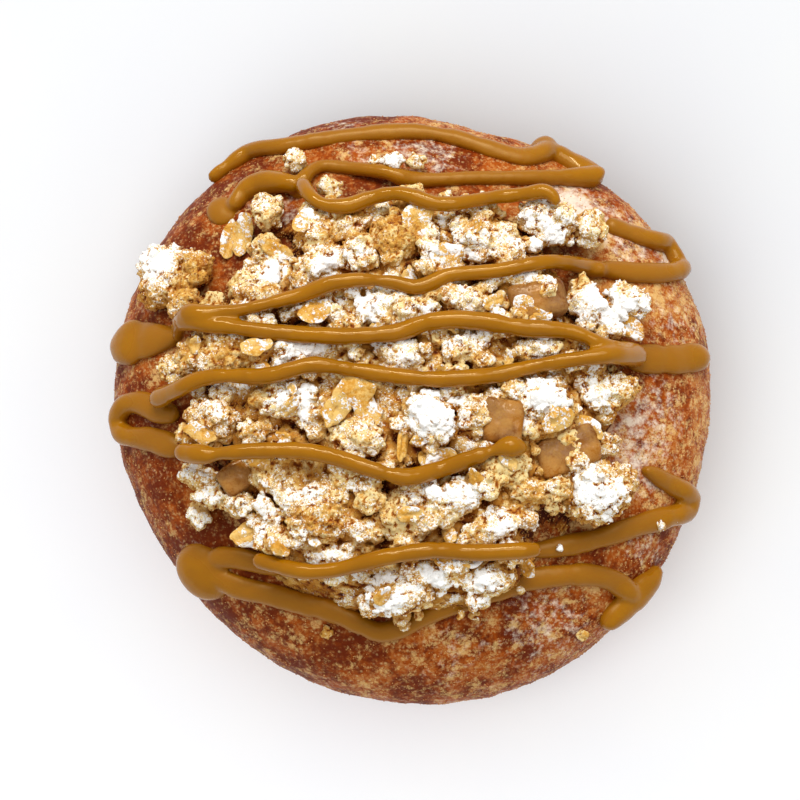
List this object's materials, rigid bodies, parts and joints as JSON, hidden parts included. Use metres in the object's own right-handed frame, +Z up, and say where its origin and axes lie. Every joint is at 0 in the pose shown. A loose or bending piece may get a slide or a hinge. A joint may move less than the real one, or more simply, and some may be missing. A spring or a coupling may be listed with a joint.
{
  "type": "apple crumble doughnut",
  "caption": "Round fried doughnut without a hole, rolled in cinnamon sugar, heaped with apple crumble, oat flakes and icing sugar under a caramel drizzle",
  "frame": {"origin": "middle of the outline, on the table under the doughnut", "axes": "+Z up through the heap, -Y towards the viewer in the picture, +X to the viewer's right"},
  "size_m": [0.1002, 0.1002, 0.0481],
  "materials": {
    "dough": "fried skin, sugared",
    "crumble": "baked, rough",
    "apple": "glazed, translucent",
    "caramel": "glossy",
    "oats": "toasted flakes",
    "icing_sugar": "fine powder",
    "cinnamon_sugar": "fine crystals"
  },
  "bodies": {
    "root": {"doughnut": "dough", "crumble_heap": "crumble", "cluster_left": "crumble", "cluster_back": "crumble", "cluster_back_right": "crumble", "cluster_right": "crumble", "cluster_right_middle": "crumble", "cluster_right_front": "crumble", "cluster_middle": "crumble", "cluster_front_middle": "crumble", "cluster_front": "crumble", "cluster_front_left": "crumble", "cluster_left_arch": "crumble", "cluster_left_low": "crumble", "apple_piece_back": "apple", "apple_piece_middle": "apple", "apple_piece_right": "apple", "apple_piece_left": "apple"}
  },
  "joints": []
}
